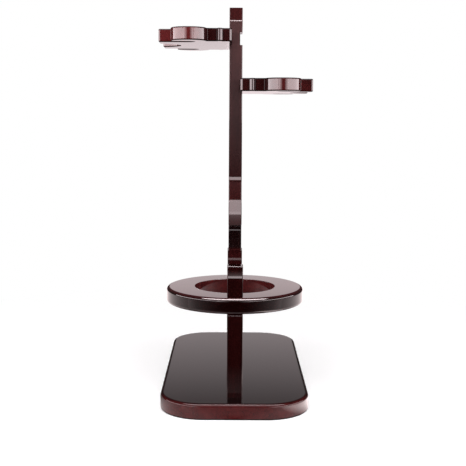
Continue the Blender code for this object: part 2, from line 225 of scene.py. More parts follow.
def mahogany(
    name,
    grain,
    shift,
    face=1.0,
    edge=1.0,
    inside=1.0,
    ruddy=1.0,
    coat_roughness=0.05,
    arris_dulling=0.0,
    arris_stain=1.5,
    dull=0.2,
    bands=None,
):
    """Mahogany stained dark under clear gloss lacquer.

    The grain runs along one axis, and shift picks the plank. The stain's strength is given for the faces,
    for the sawn edges and for dulled places, such as the inside of a hole, and ruddy is how red it is. On
    the base and the ring these strengths also paint light and shade. Dull is the share of the lacquer that
    dulled places have. Arris dulling is how much lacquer the arrises lose, and arris stain how strong their
    stain is beside the rest; on the plates the two paint a dark outline of shade. Bands are an axis and
    stops along it: where, the stain's strength, which paints light and shade along the piece, and how much
    painted grey sheen is added to the colour, most on the sawn edge.
    """
    material = bpy.data.materials.new(name)
    material.use_nodes = True
    tree = material.node_tree
    lacquer = tree.nodes["Principled BSDF"]
    place = node(tree, "ShaderNodeTexCoord").outputs["Object"]
    stretch = [1.0, 1.0, 1.0]
    stretch[grain] = 1 / GRAIN_STRETCH
    along = node(tree, "ShaderNodeMapping", {"Vector": place, "Location": shift, "Scale": stretch})
    along = along.outputs["Vector"]
    ribbon = node(
        tree, "ShaderNodeTexNoise", {"Vector": along, "Scale": 150, "Detail": 3, "Distortion": 0.7}
    ).outputs["Fac"]
    fibre = node(tree, "ShaderNodeTexNoise", {"Vector": along, "Scale": 1300, "Detail": 2}).outputs["Fac"]
    pore = node(tree, "ShaderNodeTexNoise", {"Vector": along, "Scale": 2600, "Detail": 1}).outputs["Fac"]
    figure = node(tree, "ShaderNodeMix", {"Factor": 0.35, "A": ribbon, "B": fibre}).outputs["Result"]
    stain = node(tree, "ShaderNodeValToRGB", {"Fac": figure})
    dark = (0.026 * ruddy, 0.0047, 0.0049, 1)
    middle = (0.040 * ruddy, 0.0065, 0.0066, 1)
    light = (0.058 * ruddy, 0.0093, 0.0093, 1)
    ramp = stain.color_ramp
    ramp.elements[0].position = 0.3
    ramp.elements[0].color = dark
    ramp.elements[1].position = 0.72
    ramp.elements[1].color = light
    ramp.elements.new(0.5).color = middle
    open_pore = scaled(tree, pore, 0.6, 0.72, 0, 0.5)
    sawn = node(tree, "ShaderNodeAttribute", attribute_name="sawn").outputs["Fac"]
    bare = node(tree, "ShaderNodeAttribute", attribute_name="bare").outputs["Fac"]
    depth = node(tree, "ShaderNodeMix", {"Factor": sawn, "A": face, "B": edge}).outputs["Result"]
    depth = node(tree, "ShaderNodeMix", {"Factor": bare, "A": depth, "B": inside}).outputs["Result"]
    if bands:
        axis, stops = bands
        start, end = stops[0][0], stops[-1][0]
        reach = node(tree, "ShaderNodeSeparateXYZ", {"Vector": place}).outputs[axis]
        tone = node(tree, "ShaderNodeValToRGB", {"Fac": scaled(tree, reach, start, end, 0, 1)})
        shades = tone.color_ramp.elements
        for where, stained, sheen_level in stops:
            share = (where - start) / (end - start)
            stop = shades[0] if share == 0 else shades[-1] if share == 1 else shades.new(share)
            stop.color = (stained / STAIN_UNIT, sheen_level / PAINTED_SHEEN_UNIT, 0, 1)
        tone = node(tree, "ShaderNodeSeparateColor", {"Color": tone.outputs["Color"]}).outputs
        depth = sum_of(tree, depth, sum_of(tree, tone["Red"], STAIN_UNIT, "MULTIPLY"), "MULTIPLY")
        painted_sheen = sum_of(tree, tone["Green"], sum_of(tree, sawn, PAINTED_SHEEN_EDGE_POWER, "POWER"), "MULTIPLY")
    # The arris lies between face and edge: the lacquer may be thin there, and the stain lighter; on the
    # plates it is darker, as painted shade
    facing = sum_of(tree, sum_of(tree, 1, sum_of(tree, sawn, 2, "POWER"), "SUBTRACT"), 0.5, "POWER")
    arris = sum_of(tree, sum_of(tree, sawn, facing, "MULTIPLY"), 2, "MULTIPLY")
    depth = sum_of(tree, depth, scaled(tree, arris, 0, 1, 1, arris_stain), "MULTIPLY")
    depth = sum_of(tree, depth, scaled(tree, open_pore, 0, 1, 1, 0.4), "MULTIPLY")
    colour = node(
        tree, "ShaderNodeVectorMath", {0: stain.outputs["Color"], "Scale": depth}, operation="SCALE"
    ).outputs["Vector"]
    # A painted grey sheen, strongest on the sawn edge, is added to the colour
    if bands:
        pale = sum_of(tree, painted_sheen, PAINTED_SHEEN_UNIT, "MULTIPLY")
        colour = node(tree, "ShaderNodeVectorMath", {0: colour, 1: pale}).outputs["Vector"]
    swell = node(tree, "ShaderNodeTexNoise", {"Vector": along, "Scale": 260, "Detail": 1}).outputs["Fac"]
    sunk = sum_of(tree, swell, open_pore, "SUBTRACT")
    bump = node(tree, "ShaderNodeBump", {"Height": sunk, "Strength": 0.04, "Distance": 0.05 * MM})
    tree.links.new(colour, lacquer.inputs["Base Color"])
    tree.links.new(scaled(tree, fibre, 0.3, 0.7, 0.30, 0.42), lacquer.inputs["Roughness"])
    tree.links.new(bump.outputs["Normal"], lacquer.inputs["Normal"])
    left_on = scaled(tree, arris, 0.3, 1, 1, 1 - arris_dulling)
    coat = sum_of(tree, left_on, scaled(tree, bare, 0, 1, 1, dull), "MULTIPLY")
    tree.links.new(coat, lacquer.inputs["Coat Weight"])
    lacquer.inputs["Specular IOR Level"].default_value = 0.0
    lacquer.inputs["Coat Roughness"].default_value = coat_roughness
    lacquer.inputs["Coat IOR"].default_value = COAT_IOR
    return material


base_outline = round_cornered(base_high[0], base_high[1], BASE_CORNER, 32)
base_mesh = sawn_board("base", base_outline, base_high[2] - base_low[2], (BASE_FOOT_ROUND, BASE_ROUND), 8)
base_mesh.transform(Matrix.Translation((0, 0, (base_low[2] + base_high[2]) / 2)))
# The lower round-over of the edge is dulled and darkened to a tenth: a painted contact shadow along the foot
# of the board.
mark_dulled(base_mesh, lambda place, on_edge: on_edge and place.z < BASE_SHADED_FOOT)
# The colour is darkened to a tenth within a few millimetres of the left and right ends: painted shade along
# the board's sides.
red_half = base_high[0] - BASE_SHADED_MARGIN
base_shade_bands = ((-base_high[0], 0.1, 0), (-red_half, 1, 0), (red_half, 1, 0), (base_high[0], 0.1, 0))
# The top is given a far darker colour than the sawn edge: painted shade on the top, with the front and sides
# left lighter.
base_finish = mahogany(
    "base_lacquer",
    1,
    (0.2, 0.0, 0.0),
    face=0.08,
    edge=1.25,
    inside=0.1,
    arris_dulling=0.8,
    arris_stain=1.0,
    bands=("X", base_shade_bands),
)
base = made_piece("base", base_mesh, base_finish)
screw_low, screw_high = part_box("front_leg_screw_near")
head_radius = (screw_high[0] - screw_low[0]) / 2
for leg_name in ("front", "rear"):
    for end in ("near", "far"):
        low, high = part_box(f"{leg_name}_leg_screw_{end}")
        y = (low[1] + high[1]) / 2
        sink = (0, y, low[2] - DRILL_RUN_IN)
        bored(base, sink, (0, y, low[2] + SCREW_HEAD_HEIGHT), head_radius + SCREW_CLEARANCE)
        bored(base, sink, (0, y, high[2]), SCREW_RADIUS + SCREW_CLEARANCE)
polished(base)
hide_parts("base_board")
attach(base, "root")


# Leg screws
# Four zinc-plated countersunk wood screws, two up through the base into each leg, their cross-slotted heads
# sunk just below the board's underside.
SCREW_SIDES = 32
SCREW_FIT = 0.98
SHANK_RADIUS = 1.2 * MM
SHANK_FOOT = 0.6
SHANK_FIT = 0.9
POINT_FIT = 0.999
THREAD_START = 0.37
THREAD_SHARE = 0.62
RECESS_REACH = 1.15
RECESS_WIDTH = 0.26
RECESS_DEPTHS = (1, 0.96)
CREASE = math.radians(35)


def tree_with(name, sizes):
    """A geometry tree with named size inputs and a material input, and the sockets that give them."""
    tree = bpy.data.node_groups.new(name, "GeometryNodeTree")
    for label, value in sizes.items():
        kind = "NodeSocketVector" if isinstance(value, (tuple, Vector)) else "NodeSocketFloat"
        tree.interface.new_socket(label, in_out="INPUT", socket_type=kind)
    tree.interface.new_socket("Finish", in_out="INPUT", socket_type="NodeSocketMaterial")
    tree.interface.new_socket("Geometry", in_out="OUTPUT", socket_type="NodeSocketGeometry")
    return tree, node(tree, "NodeGroupInput").outputs


def close_tree(tree, geometry, finish):
    """Ends a tree: instances made real, smooth, in their material."""
    real = node(tree, "GeometryNodeRealizeInstances", {"Geometry": geometry}).outputs["Geometry"]
    smooth = node(tree, "GeometryNodeSetShadeSmooth", {"Geometry": real}).outputs["Geometry"]
    coated = node(tree, "GeometryNodeSetMaterial", {"Geometry": smooth, "Material": finish})
    node(tree, "NodeGroupOutput", {"Geometry": coated.outputs["Geometry"]})


def grown_piece(name, tree, sizes, material):
    """The tree's result at these sizes, as a plain mesh object at the origin."""
    piece = made_piece(name, bpy.data.meshes.new(name), material)
    grow = piece.modifiers.new("grow", "NODES")
    grow.node_group = tree
    for item in tree.interface.items_tree:
        if item.in_out == "INPUT":
            grow[item.identifier] = material if item.name == "Finish" else sizes[item.name]
    settle(piece)
    return piece


def in_pairs(tree, shape, first, step, spacing, rotation=(0, 0, 0)):
    """Puts a shape on two places, twice at each, the two apart along Y."""
    apart = node(tree, "ShaderNodeCombineXYZ", {"Y": spacing}).outputs["Vector"]
    half_back = node(
        tree, "ShaderNodeVectorMath", {0: apart, 1: (-0.5, -0.5, -0.5)}, operation="MULTIPLY"
    ).outputs["Vector"]
    places = node(
        tree, "GeometryNodeMeshLine", {"Count": 2, "Start Location": first, "Offset": step}
    ).outputs["Mesh"]
    twos = node(
        tree, "GeometryNodeMeshLine", {"Count": 2, "Start Location": half_back, "Offset": apart}
    ).outputs["Mesh"]
    spread = node(tree, "GeometryNodeInstanceOnPoints", {"Points": places, "Instance": twos})
    points = node(tree, "GeometryNodeRealizeInstances", {"Geometry": spread.outputs["Instances"]})
    return node(
        tree,
        "GeometryNodeInstanceOnPoints",
        {"Points": points.outputs["Geometry"], "Instance": shape, "Rotation": rotation},
    ).outputs["Instances"]


def moved(tree, geometry, translation):
    """The geometry moved by a vector."""
    return node(
        tree, "GeometryNodeTransform", {"Geometry": geometry, "Translation": translation}
    ).outputs["Geometry"]


def raised(tree, geometry, height):
    """The geometry moved up by a height from another socket."""
    up = node(tree, "ShaderNodeCombineXYZ", {"Z": height}).outputs["Vector"]
    return moved(tree, geometry, up)


screw_middles = []
for leg_name in ("front", "rear"):
    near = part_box(f"{leg_name}_leg_screw_near")
    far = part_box(f"{leg_name}_leg_screw_far")
    screw_middles.append(Vector((0, (near[0][1] + far[1][1]) / 2, near[0][2])))
screw_sizes = {
    "First Place": screw_middles[0],
    "Step": screw_middles[1] - screw_middles[0],
    "Spacing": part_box("front_leg_screw_far")[0][1] - screw_low[1],
    "Head Radius": head_radius,
    "Head Height": SCREW_HEAD_HEIGHT,
    "Rim": 0.3 * MM,
    "Shank Radius": SHANK_RADIUS,
    "Length": screw_high[2] - screw_low[2],
    "Tip": 3.5 * MM,
    "Thread Pitch": 1.3 * MM,
    "Thread Height": 0.42 * MM,
}
tree, given = tree_with("countersunk_screws", screw_sizes)
rim = node(
    tree,
    "GeometryNodeMeshCylinder",
    {"Vertices": SCREW_SIDES, "Radius": given["Head Radius"], "Depth": given["Rim"]},
).outputs["Mesh"]
rim = raised(tree, rim, sum_of(tree, given["Rim"], 0.5, "MULTIPLY"))
countersink = node(
    tree,
    "GeometryNodeMeshCone",
    {
        "Vertices": SCREW_SIDES,
        "Radius Top": sum_of(tree, given["Shank Radius"], SHANK_FIT, "MULTIPLY"),
        "Radius Bottom": sum_of(tree, given["Head Radius"], SCREW_FIT, "MULTIPLY"),
        "Depth": given["Head Height"],
    },
).outputs["Mesh"]
countersink = raised(tree, countersink, sum_of(tree, given["Rim"], 0.5, "MULTIPLY"))
shank_end = sum_of(tree, given["Length"], given["Tip"], "SUBTRACT")
shank_foot = sum_of(tree, given["Head Height"], SHANK_FOOT, "MULTIPLY")
shank_length = sum_of(tree, shank_end, shank_foot, "SUBTRACT")
shank = node(
    tree,
    "GeometryNodeMeshCylinder",
    {"Vertices": SCREW_SIDES, "Radius": given["Shank Radius"], "Depth": shank_length},
).outputs["Mesh"]
shank = raised(tree, shank, sum_of(tree, sum_of(tree, shank_end, shank_foot), 0.5, "MULTIPLY"))
point = node(
    tree,
    "GeometryNodeMeshCone",
    {
        "Vertices": SCREW_SIDES,
        "Radius Bottom": sum_of(tree, given["Shank Radius"], SCREW_FIT, "MULTIPLY"),
        "Depth": given["Tip"],
    },
).outputs["Mesh"]
point = raised(tree, point, sum_of(tree, shank_end, POINT_FIT, "MULTIPLY"))
thread_length = sum_of(tree, shank_end, THREAD_SHARE, "MULTIPLY")
helix = node(
    tree,
    "GeometryNodeCurveSpiral",
    {
        "Resolution": 24,
        "Rotations": sum_of(tree, thread_length, given["Thread Pitch"], "DIVIDE"),
        "Start Radius": given["Shank Radius"],
        "End Radius": given["Shank Radius"],
        "Height": thread_length,
    },
).outputs["Curve"]
ridge = node(
    tree, "GeometryNodeCurvePrimitiveCircle", {"Resolution": 4, "Radius": given["Thread Height"]}
).outputs["Curve"]
thread = node(tree, "GeometryNodeCurveToMesh", {"Curve": helix, "Profile Curve": ridge, "Fill Caps": True})
thread = raised(tree, thread.outputs["Mesh"], sum_of(tree, shank_end, THREAD_START, "MULTIPLY"))
blank = node(tree, "GeometryNodeMeshBoolean", operation="UNION")
for solid in (rim, countersink):
    tree.links.new(solid, blank.inputs["Mesh 2"])
wing = sum_of(tree, given["Head Radius"], RECESS_REACH, "MULTIPLY")
recess = node(tree, "GeometryNodeMeshBoolean", {"Mesh 1": blank.outputs["Mesh"]}, operation="DIFFERENCE")
for turn, depth in zip((0, 90), RECESS_DEPTHS):
    size = node(
        tree,
        "ShaderNodeCombineXYZ",
        {
            "X": wing,
            "Y": sum_of(tree, given["Head Radius"], RECESS_WIDTH, "MULTIPLY"),
            "Z": sum_of(tree, given["Head Height"], depth, "MULTIPLY"),
        },
    )
    bar = node(tree, "GeometryNodeMeshCube", {"Size": size.outputs["Vector"]}).outputs["Mesh"]
    turned_bar = node(
        tree, "GeometryNodeTransform", {"Geometry": bar, "Rotation": (0, 0, math.radians(turn))}
    )
    tree.links.new(turned_bar.outputs["Geometry"], recess.inputs["Mesh 2"])
screw = node(tree, "GeometryNodeJoinGeometry")
for solid in (recess.outputs["Mesh"], shank, point, thread):
    tree.links.new(solid, screw.inputs["Geometry"])
close_tree(
    tree,
    in_pairs(tree, screw.outputs["Geometry"], given["First Place"], given["Step"], given["Spacing"]),
    given["Finish"],
)


def flecked(name, fineness, detail, dark, light):
    """A material flecked in two tones, with its shader and the socket of its flecks."""
    material = bpy.data.materials.new(name)
    material.use_nodes = True
    tree = material.node_tree
    shader = tree.nodes["Principled BSDF"]
    place = node(tree, "ShaderNodeTexCoord").outputs["Object"]
    noise = {"Vector": place, "Scale": fineness, "Detail": detail}
    fleck = node(tree, "ShaderNodeTexNoise", noise).outputs["Fac"]
    tone = node(tree, "ShaderNodeValToRGB", {"Fac": fleck})
    for stop, position, colour in zip(tone.color_ramp.elements, (0.35, 0.65), (dark, light)):
        stop.position = position
        stop.color = colour
    tree.links.new(tone.outputs["Color"], shader.inputs["Base Color"])
    return material, shader, fleck


zinc, plating, spangle = flecked("zinc_plate", 1800, 3, (0.38, 0.36, 0.30, 1), (0.62, 0.60, 0.55, 1))
plating.inputs["Metallic"].default_value = 1.0
zinc.node_tree.links.new(scaled(zinc.node_tree, spangle, 0.3, 0.7, 0.28, 0.45), plating.inputs["Roughness"])
screws = grown_piece("leg_screws", tree, screw_sizes, zinc)
screws.data.set_sharp_from_angle(angle=CREASE)
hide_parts(*[f"{leg}_leg_screw_{end}" for leg in ("front", "rear") for end in ("near", "far")])
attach(screws, "root")


# Legs
# Two short oblong posts between the base and the ring, sawn from the same stock, with eased arrises. Each
# stands a little proud of the ring on its outer side. They are screwed from below, and dowelled and glued
# to the ring.
LEG_ROUND = 0.7 * MM
GLUE_GAP = 0.3 * MM
DOWEL_CLEARANCE = 0.3 * MM


def eased_block(name, low, high, edge_round, steps=5):
    """A sawn stick between two corners, its grain upright and its four long arrises rounded over."""
    plan = round_cornered((high[0] - low[0]) / 2, (high[1] - low[1]) / 2, edge_round, 2 * steps)
    mesh = sawn_board(name, plan, high[2] - low[2], (edge_round / 4, edge_round / 4), 3)
    mesh.transform(Matrix.Translation([(bottom + top) / 2 for bottom, top in zip(low, high)]))
    return mesh


def dowel_bores(piece, *dowels):
    """Bores a piece for the dowels that it is glued on."""
    for dowel in dowels:
        low, high = (Vector(corner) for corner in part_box(dowel))
        sizes = high - low
        axis = max(range(3), key=lambda direction: sizes[direction])
        radius = min(sizes) / 2
        start = (low + high) / 2
        end = start.copy()
        start[axis] = low[axis] - DOWEL_CLEARANCE
        end[axis] = high[axis] + DOWEL_CLEARANCE
        bored(piece, start, end, radius + DOWEL_CLEARANCE)


for leg_name, shift in (("front", (0.0, 0.0, 0.3)), ("rear", (0.1, 0.05, 0.7))):
    low, high = (Vector(corner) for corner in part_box(f"{leg_name}_leg"))
    low.z -= GLUE_GAP
    high.z += GLUE_GAP
    leg_mesh = eased_block(f"{leg_name}_post", low, high, LEG_ROUND)
    leg_finish = mahogany(f"{leg_name}_post_lacquer", 2, shift, face=0.2, edge=0.26)
    leg = made_piece(f"{leg_name}_post", leg_mesh, leg_finish)
    dowel_bores(leg, f"{leg_name}_post_dowel_near", f"{leg_name}_post_dowel_far")
    for end in ("near", "far"):
        screw_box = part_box(f"{leg_name}_leg_screw_{end}")
        y = (screw_box[0][1] + screw_box[1][1]) / 2
        drill_end = (0, y, screw_box[1][2] + SCREW_CLEARANCE)
        bored(leg, (0, y, low.z - DRILL_RUN_IN), drill_end, SCREW_RADIUS + SCREW_CLEARANCE)
    polished(leg)
    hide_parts(f"{leg_name}_leg")
    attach(leg, "root")


# Bowl ring
# A flat ring turned from the same 12 mm stock, with a round hole that the shaving bowl drops into and
# its outer edges rounded over on the lathe. Its band sits on both legs.
ring_low, ring_high = (Vector(corner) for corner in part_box("bowl_ring"))
ring_sizes = {
    "Outer Radius": (ring_high.x - ring_low.x) / 2,
    "Hole Radius": 31.4 * MM,
    "Thickness": ring_high.z - ring_low.z,
    "Rim Round": 2.6 * MM,
    "Hole Round": 0.4 * MM,
    "Centre": (ring_low + ring_high) / 2,
}
tree, given = tree_with("turned_ring", ring_sizes)
band = sum_of(tree, given["Outer Radius"], given["Hole Radius"], "SUBTRACT")
middle_radius = sum_of(tree, sum_of(tree, given["Outer Radius"], given["Hole Radius"]), 0.5, "MULTIPLY")
path = node(tree, "GeometryNodeCurvePrimitiveCircle", {"Resolution": 192, "Radius": middle_radius})
section = node(
    tree, "GeometryNodeCurvePrimitiveQuadrilateral", {"Width": band, "Height": given["Thickness"]}
)
corner_side = node(
    tree, "ShaderNodeSeparateXYZ", {"Vector": node(tree, "GeometryNodeInputPosition").outputs["Position"]}
).outputs["X"]
at_rim = sum_of(tree, corner_side, 0, "GREATER_THAN")
corner_round = node(
    tree, "ShaderNodeMix", {"Factor": at_rim, "A": given["Hole Round"], "B": given["Rim Round"]}
).outputs["Result"]
rounded = node(
    tree,
    "GeometryNodeFilletCurve",
    {"Curve": section.outputs["Curve"], "Count": 8, "Radius": corner_round},
    mode="POLY",
)
swept = node(
    tree,
    "GeometryNodeCurveToMesh",
    {"Curve": path.outputs["Curve"], "Profile Curve": rounded.outputs["Curve"]},
)
upness = node(
    tree, "ShaderNodeSeparateXYZ", {"Vector": node(tree, "GeometryNodeInputNormal").outputs["Normal"]}
).outputs["Z"]
turned_edge = sum_of(tree, 1, sum_of(tree, upness, 2, "POWER"), "SUBTRACT")
marked = node(
    tree,
    "GeometryNodeStoreNamedAttribute",
    {"Geometry": swept.outputs["Mesh"], "Name": "sawn", "Value": sum_of(tree, turned_edge, 0.5, "POWER")},
)
flat_place = node(
    tree,
    "ShaderNodeVectorMath",
    {0: node(tree, "GeometryNodeInputPosition").outputs["Position"], 1: (1, 1, 0)},
    operation="MULTIPLY",
).outputs["Vector"]
from_axis = node(tree, "ShaderNodeVectorMath", {0: flat_place}, operation="LENGTH").outputs["Value"]
inside = sum_of(tree, sum_of(tree, from_axis, middle_radius, "LESS_THAN"), turned_edge, "MULTIPLY")
marked = node(
    tree,
    "GeometryNodeStoreNamedAttribute",
    {"Geometry": marked.outputs["Geometry"], "Name": "bare", "Value": inside},
)
close_tree(tree, moved(tree, marked.outputs["Geometry"], given["Centre"]), given["Finish"])
# The outer wall is darkened to about an eighth of the top's tone, and the hole's wall is lighter and dulled:
# painted shade on the outer wall and painted light on the hole's wall.
ring_finish = mahogany("ring_lacquer", 0, (0.0, 0.3, 0.11), face=0.9, edge=0.11, inside=1.2, dull=0.5)
ring = grown_piece("ring", tree, ring_sizes, ring_finish)
dowel_bores(ring, *[f"{leg}_post_dowel_{end}" for leg in ("front", "rear") for end in ("near", "far")])
polished(ring)
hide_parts("bowl_ring")
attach(ring, "root")


# Front cap
# A short block on the ring over the front leg, sawn from leg stock: it is hollowed on both edges up to a
# square tip, and stands on two dowels.
CAP_BLOCK_TOP = 100.4 * MM
CAP_SLOPE = 37
CAP_TIP_ROUND = 0.8 * MM
CAP_ROUND = 0.7 * MM


def mirrored(half):
    """A closed outline from the half of it that lies at positive second coordinates."""
    return half + [(u, -v) for u, v in reversed(half)]


def stood_up(mesh, y):
    """Stands a sawn outline up: its first coordinate becomes the height, its second runs along Y."""
    mesh.transform(Matrix(((0, 0, 1, 0), (0, -1, 0, y), (1, 0, 0, 0), (0, 0, 0, 1))))
    return mesh


cap_low, cap_high = (Vector(corner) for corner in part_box("front_cap"))
cap_half = (cap_high.y - cap_low.y) / 2
cap_y = (cap_high.y + cap_low.y) / 2
tip_half = (cap_high.x - cap_low.x) / 2
hollow = (cap_half - tip_half) / (1 - math.cos(math.radians(CAP_SLOPE)))
tip_foot = CAP_BLOCK_TOP + hollow * math.sin(math.radians(CAP_SLOPE))
half = [(cap_low.z - GLUE_GAP, cap_half)]
half += arc((tip_foot, tip_half + hollow), hollow, 270 - CAP_SLOPE, 270, 16)
half += arc((cap_high.z - CAP_TIP_ROUND, tip_half - CAP_TIP_ROUND), CAP_TIP_ROUND, 90, 0, 8)
cap_mesh = sawn_board("cap", mirrored(half), cap_high.x - cap_low.x, (CAP_ROUND, CAP_ROUND))
cap_finish = mahogany("cap_lacquer", 2, (0.4, 0.0, 0.0), face=0.3, edge=0.23)
cap = made_piece("cap", stood_up(cap_mesh, cap_y), cap_finish)
dowel_bores(cap, "front_post_dowel_near", "front_post_dowel_far")
polished(cap)
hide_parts("front_cap")
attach(cap, "root")


# Upright
# A tall flat post fretsawn on its edges to a baluster: stepped foot, neck, lip, urn, bead, shaft and
# finial. It is grooved on both sides for the holder plates. The groove opposite the upper plate is empty.
SHAFT_THICKNESS = 10.6 * MM
SHAFT_HALF = 9.5 * MM
FOOT_TOP = 101.3 * MM
FOOT_BLOCK_FOOT = 103.0 * MM
FOOT_BLOCK_HALF = 8.7 * MM
FOOT_ROUND = 0.7 * MM
NECK_FOOT = 109.3 * MM
NECK_HALF = 5.8 * MM
NECK_SUNK = 5 * MM
LIP_FLAT = 2.4 * MM
LIP_Z = 131.6 * MM
LIP_DROOP = 0.2 * MM
URN_ROUND = 58.3 * MM
URN_START = 15
URN_SLOPE = 36
URN_COVE = 3 * MM
WAIST_HALF = 9.9 * MM
BEAD_FOOT = 165.75 * MM
BEAD_HALF = 10.8 * MM
BEAD_NOSE = 1.25 * MM
BEAD_SLOPE = 28
SHOULDER_Z = 295.2 * MM
SHOULDER_ROUND = 1.54 * MM
FINIAL_HALF = 6.2 * MM
LEFT_ROUND = 0.5 * MM
RIGHT_ROUND = 0.62 * MM
SHEEN_START = 215 * MM
SHEEN_FULL = 262 * MM
GROOVE_DEPTH = 2 * MM
HAIR = 0.01 * MM
upright_low, upright_high = (Vector(corner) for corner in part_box("upright"))
upright_y = (upright_low.y + upright_high.y) / 2
lip_half = (upright_high.y - upright_low.y) / 2
cove = lip_half - LIP_FLAT - NECK_HALF
half = [(NECK_FOOT - NECK_SUNK, NECK_HALF)]
half += arc((LIP_Z - cove, NECK_HALF + cove), cove, -90, 0, 24)
start, slope = math.radians(URN_START), math.radians(URN_SLOPE)
round_middle = (LIP_Z - LIP_DROOP - URN_ROUND * math.sin(start), lip_half - URN_ROUND * math.cos(start))
half += arc(round_middle, URN_ROUND, 90 - URN_START, 90 - URN_SLOPE, 24)
round_z, round_v = half[-1]
cove_middle = (round_z + URN_COVE * math.sin(slope), round_v + URN_COVE * math.cos(slope))
half += arc(cove_middle, URN_COVE, 270 - URN_SLOPE, 270, 10)[1:]
nose_start = 180 - math.degrees(math.asin((WAIST_HALF - BEAD_HALF + BEAD_NOSE) / BEAD_NOSE))
half += arc((BEAD_FOOT + BEAD_NOSE, BEAD_HALF - BEAD_NOSE), BEAD_NOSE, nose_start, 90 - BEAD_SLOPE, 10)
nose_z, nose_v = half[-1]
half.append((nose_z + (nose_v - SHAFT_HALF) / math.tan(math.radians(BEAD_SLOPE)), SHAFT_HALF))
half += arc((SHOULDER_Z - SHOULDER_ROUND, SHAFT_HALF - SHOULDER_ROUND), SHOULDER_ROUND, 90, 0, 8)
half.append((SHOULDER_Z, FINIAL_HALF))
half.append((upright_high.z, FINIAL_HALF))
upright_mesh = sawn_board("post", mirrored(half), SHAFT_THICKNESS, (LEFT_ROUND, RIGHT_ROUND))
# Along the height the stain's strength paints light and shade: dark on the neck, lighter on the urn and the
# foot block, and rising up the shaft. A painted grey sheen is added on the sawn edge of the foot block and
# the upper shaft.
post_light_bands = (
    (upright_low.z, 0.75, 0),
    (FOOT_TOP, 0.75, 0),
    (FOOT_BLOCK_FOOT, 1.3, 0.017),
    (NECK_FOOT, 0.8, 0),
    (NECK_FOOT + 2 * MM, 0.15, 0.002),
    (LIP_Z - 1 * MM, 0.15, 0.002),
    (LIP_Z + 1 * MM, 0.42, 0),
    (LIP_Z + 22 * MM, 0.65, 0),
    (BEAD_FOOT, 0.75, 0.004),
    (BEAD_FOOT + 4 * MM, 0.45, 0.004),
    (SHEEN_START, 0.5, 0.02),
    (SHEEN_FULL, 0.95, 0.03),
    (SHOULDER_Z, 0.88, 0.026),
    (SHOULDER_Z + 0.5 * MM, 1.0, 0),
    (upright_high.z, 1.0, 0),
)
upright_finish = mahogany(
    "post_lacquer", 2, (0.0, 0.25, 0.0), face=0.6, coat_roughness=0.07, arris_dulling=0.5, bands=("Z", post_light_bands)
)
upright = made_piece("post", stood_up(upright_mesh, upright_y), upright_finish)
foot_half = [
    (upright_low.z - GLUE_GAP, SHAFT_HALF),
    (FOOT_TOP, SHAFT_HALF),
    (FOOT_BLOCK_FOOT, FOOT_BLOCK_HALF),
    (NECK_FOOT, FOOT_BLOCK_HALF),
]
foot_thickness = upright_high.x - upright_low.x
foot_mesh = sawn_board("post_foot", mirrored(foot_half), foot_thickness, (FOOT_ROUND, FOOT_ROUND))
cut_with(upright, stood_up(foot_mesh, upright_y), "UNION")


def grooved(piece, side, low, high):
    """Cuts a shallow groove across one side of the upright between two heights."""
    body = bmesh.new()
    middle = Vector((side * (SHAFT_THICKNESS / 2 - GROOVE_DEPTH + SHAFT_HALF), upright_y, (low + high) / 2))
    size = Matrix.Diagonal((2 * SHAFT_HALF, 4 * SHAFT_HALF, high - low, 1))
    bmesh.ops.create_cube(body, size=1, matrix=Matrix.Translation(middle) @ size)
    groove = bpy.data.meshes.new("groove")
    body.to_mesh(groove)
    body.free()
    cut_with(piece, groove)


upper_low, upper_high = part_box("upper_holder")
lower_low, lower_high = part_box("lower_holder")
for side, low, high in (
    (-1, upper_low[2], upper_high[2]),
    (1, upper_low[2], upper_high[2]),
    (1, lower_low[2], lower_high[2]),
):
    grooved(upright, side, low, high)
dowel_bores(upright, "rear_post_dowel_near", "rear_post_dowel_far")
for plate in ("upper", "lower"):
    dowel_bores(upright, f"{plate}_holder_dowel_near", f"{plate}_holder_dowel_far")
# The cuts leave new corners on the sawn edge, which are marked as the rest of it is
edge_start = -SHAFT_THICKNESS / 2 + LEFT_ROUND - HAIR
edge_end = SHAFT_THICKNESS / 2 - RIGHT_ROUND + HAIR
for vert, mark in zip(upright.data.vertices, upright.data.attributes["sawn"].data):
    if edge_start < vert.co.x < edge_end:
        mark.value = 1.0
polished(upright, sharp=20)
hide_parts("upright")
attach(upright, "root")


# Holder plates
# Two like plates, sawn to a scalloped plan and glued on dowels into grooves of the upright. Each takes two
# razors in its end slots and a brush in the round notch between them.
HOLDER_NECK_V = 45.8 * MM
HOLDER_FLAT_V = 46.4 * MM
HOLDER_BEAD_U = 12.6 * MM
HOLDER_BEAD_RADIUS = 2.3 * MM
LOBE_U = 36.1 * MM
LOBE_V = 46 * MM
LOBE_RADIUS = 13.9 * MM
COVE_RADIUS = 0.8 * MM
SLOT_WIDTH = 10 * MM
SLOT_FOOT_U = 32 * MM
TINE_CORNER = 1.3 * MM
NOTCH_HALF = 17.5 * MM
NOTCH_DEPTH = 15 * MM
NOTCH_END = 177.75
HOLDER_ROUND = 1.0 * MM
HOLDER_CORNER = 2 * MM
COVE_SHADE = (LOBE_U - 15.2 * MM, LOBE_U - 11.8 * MM)
PLATE_LIGHT_REACHES = (0.1, 0.38, 0.54, 1.0)


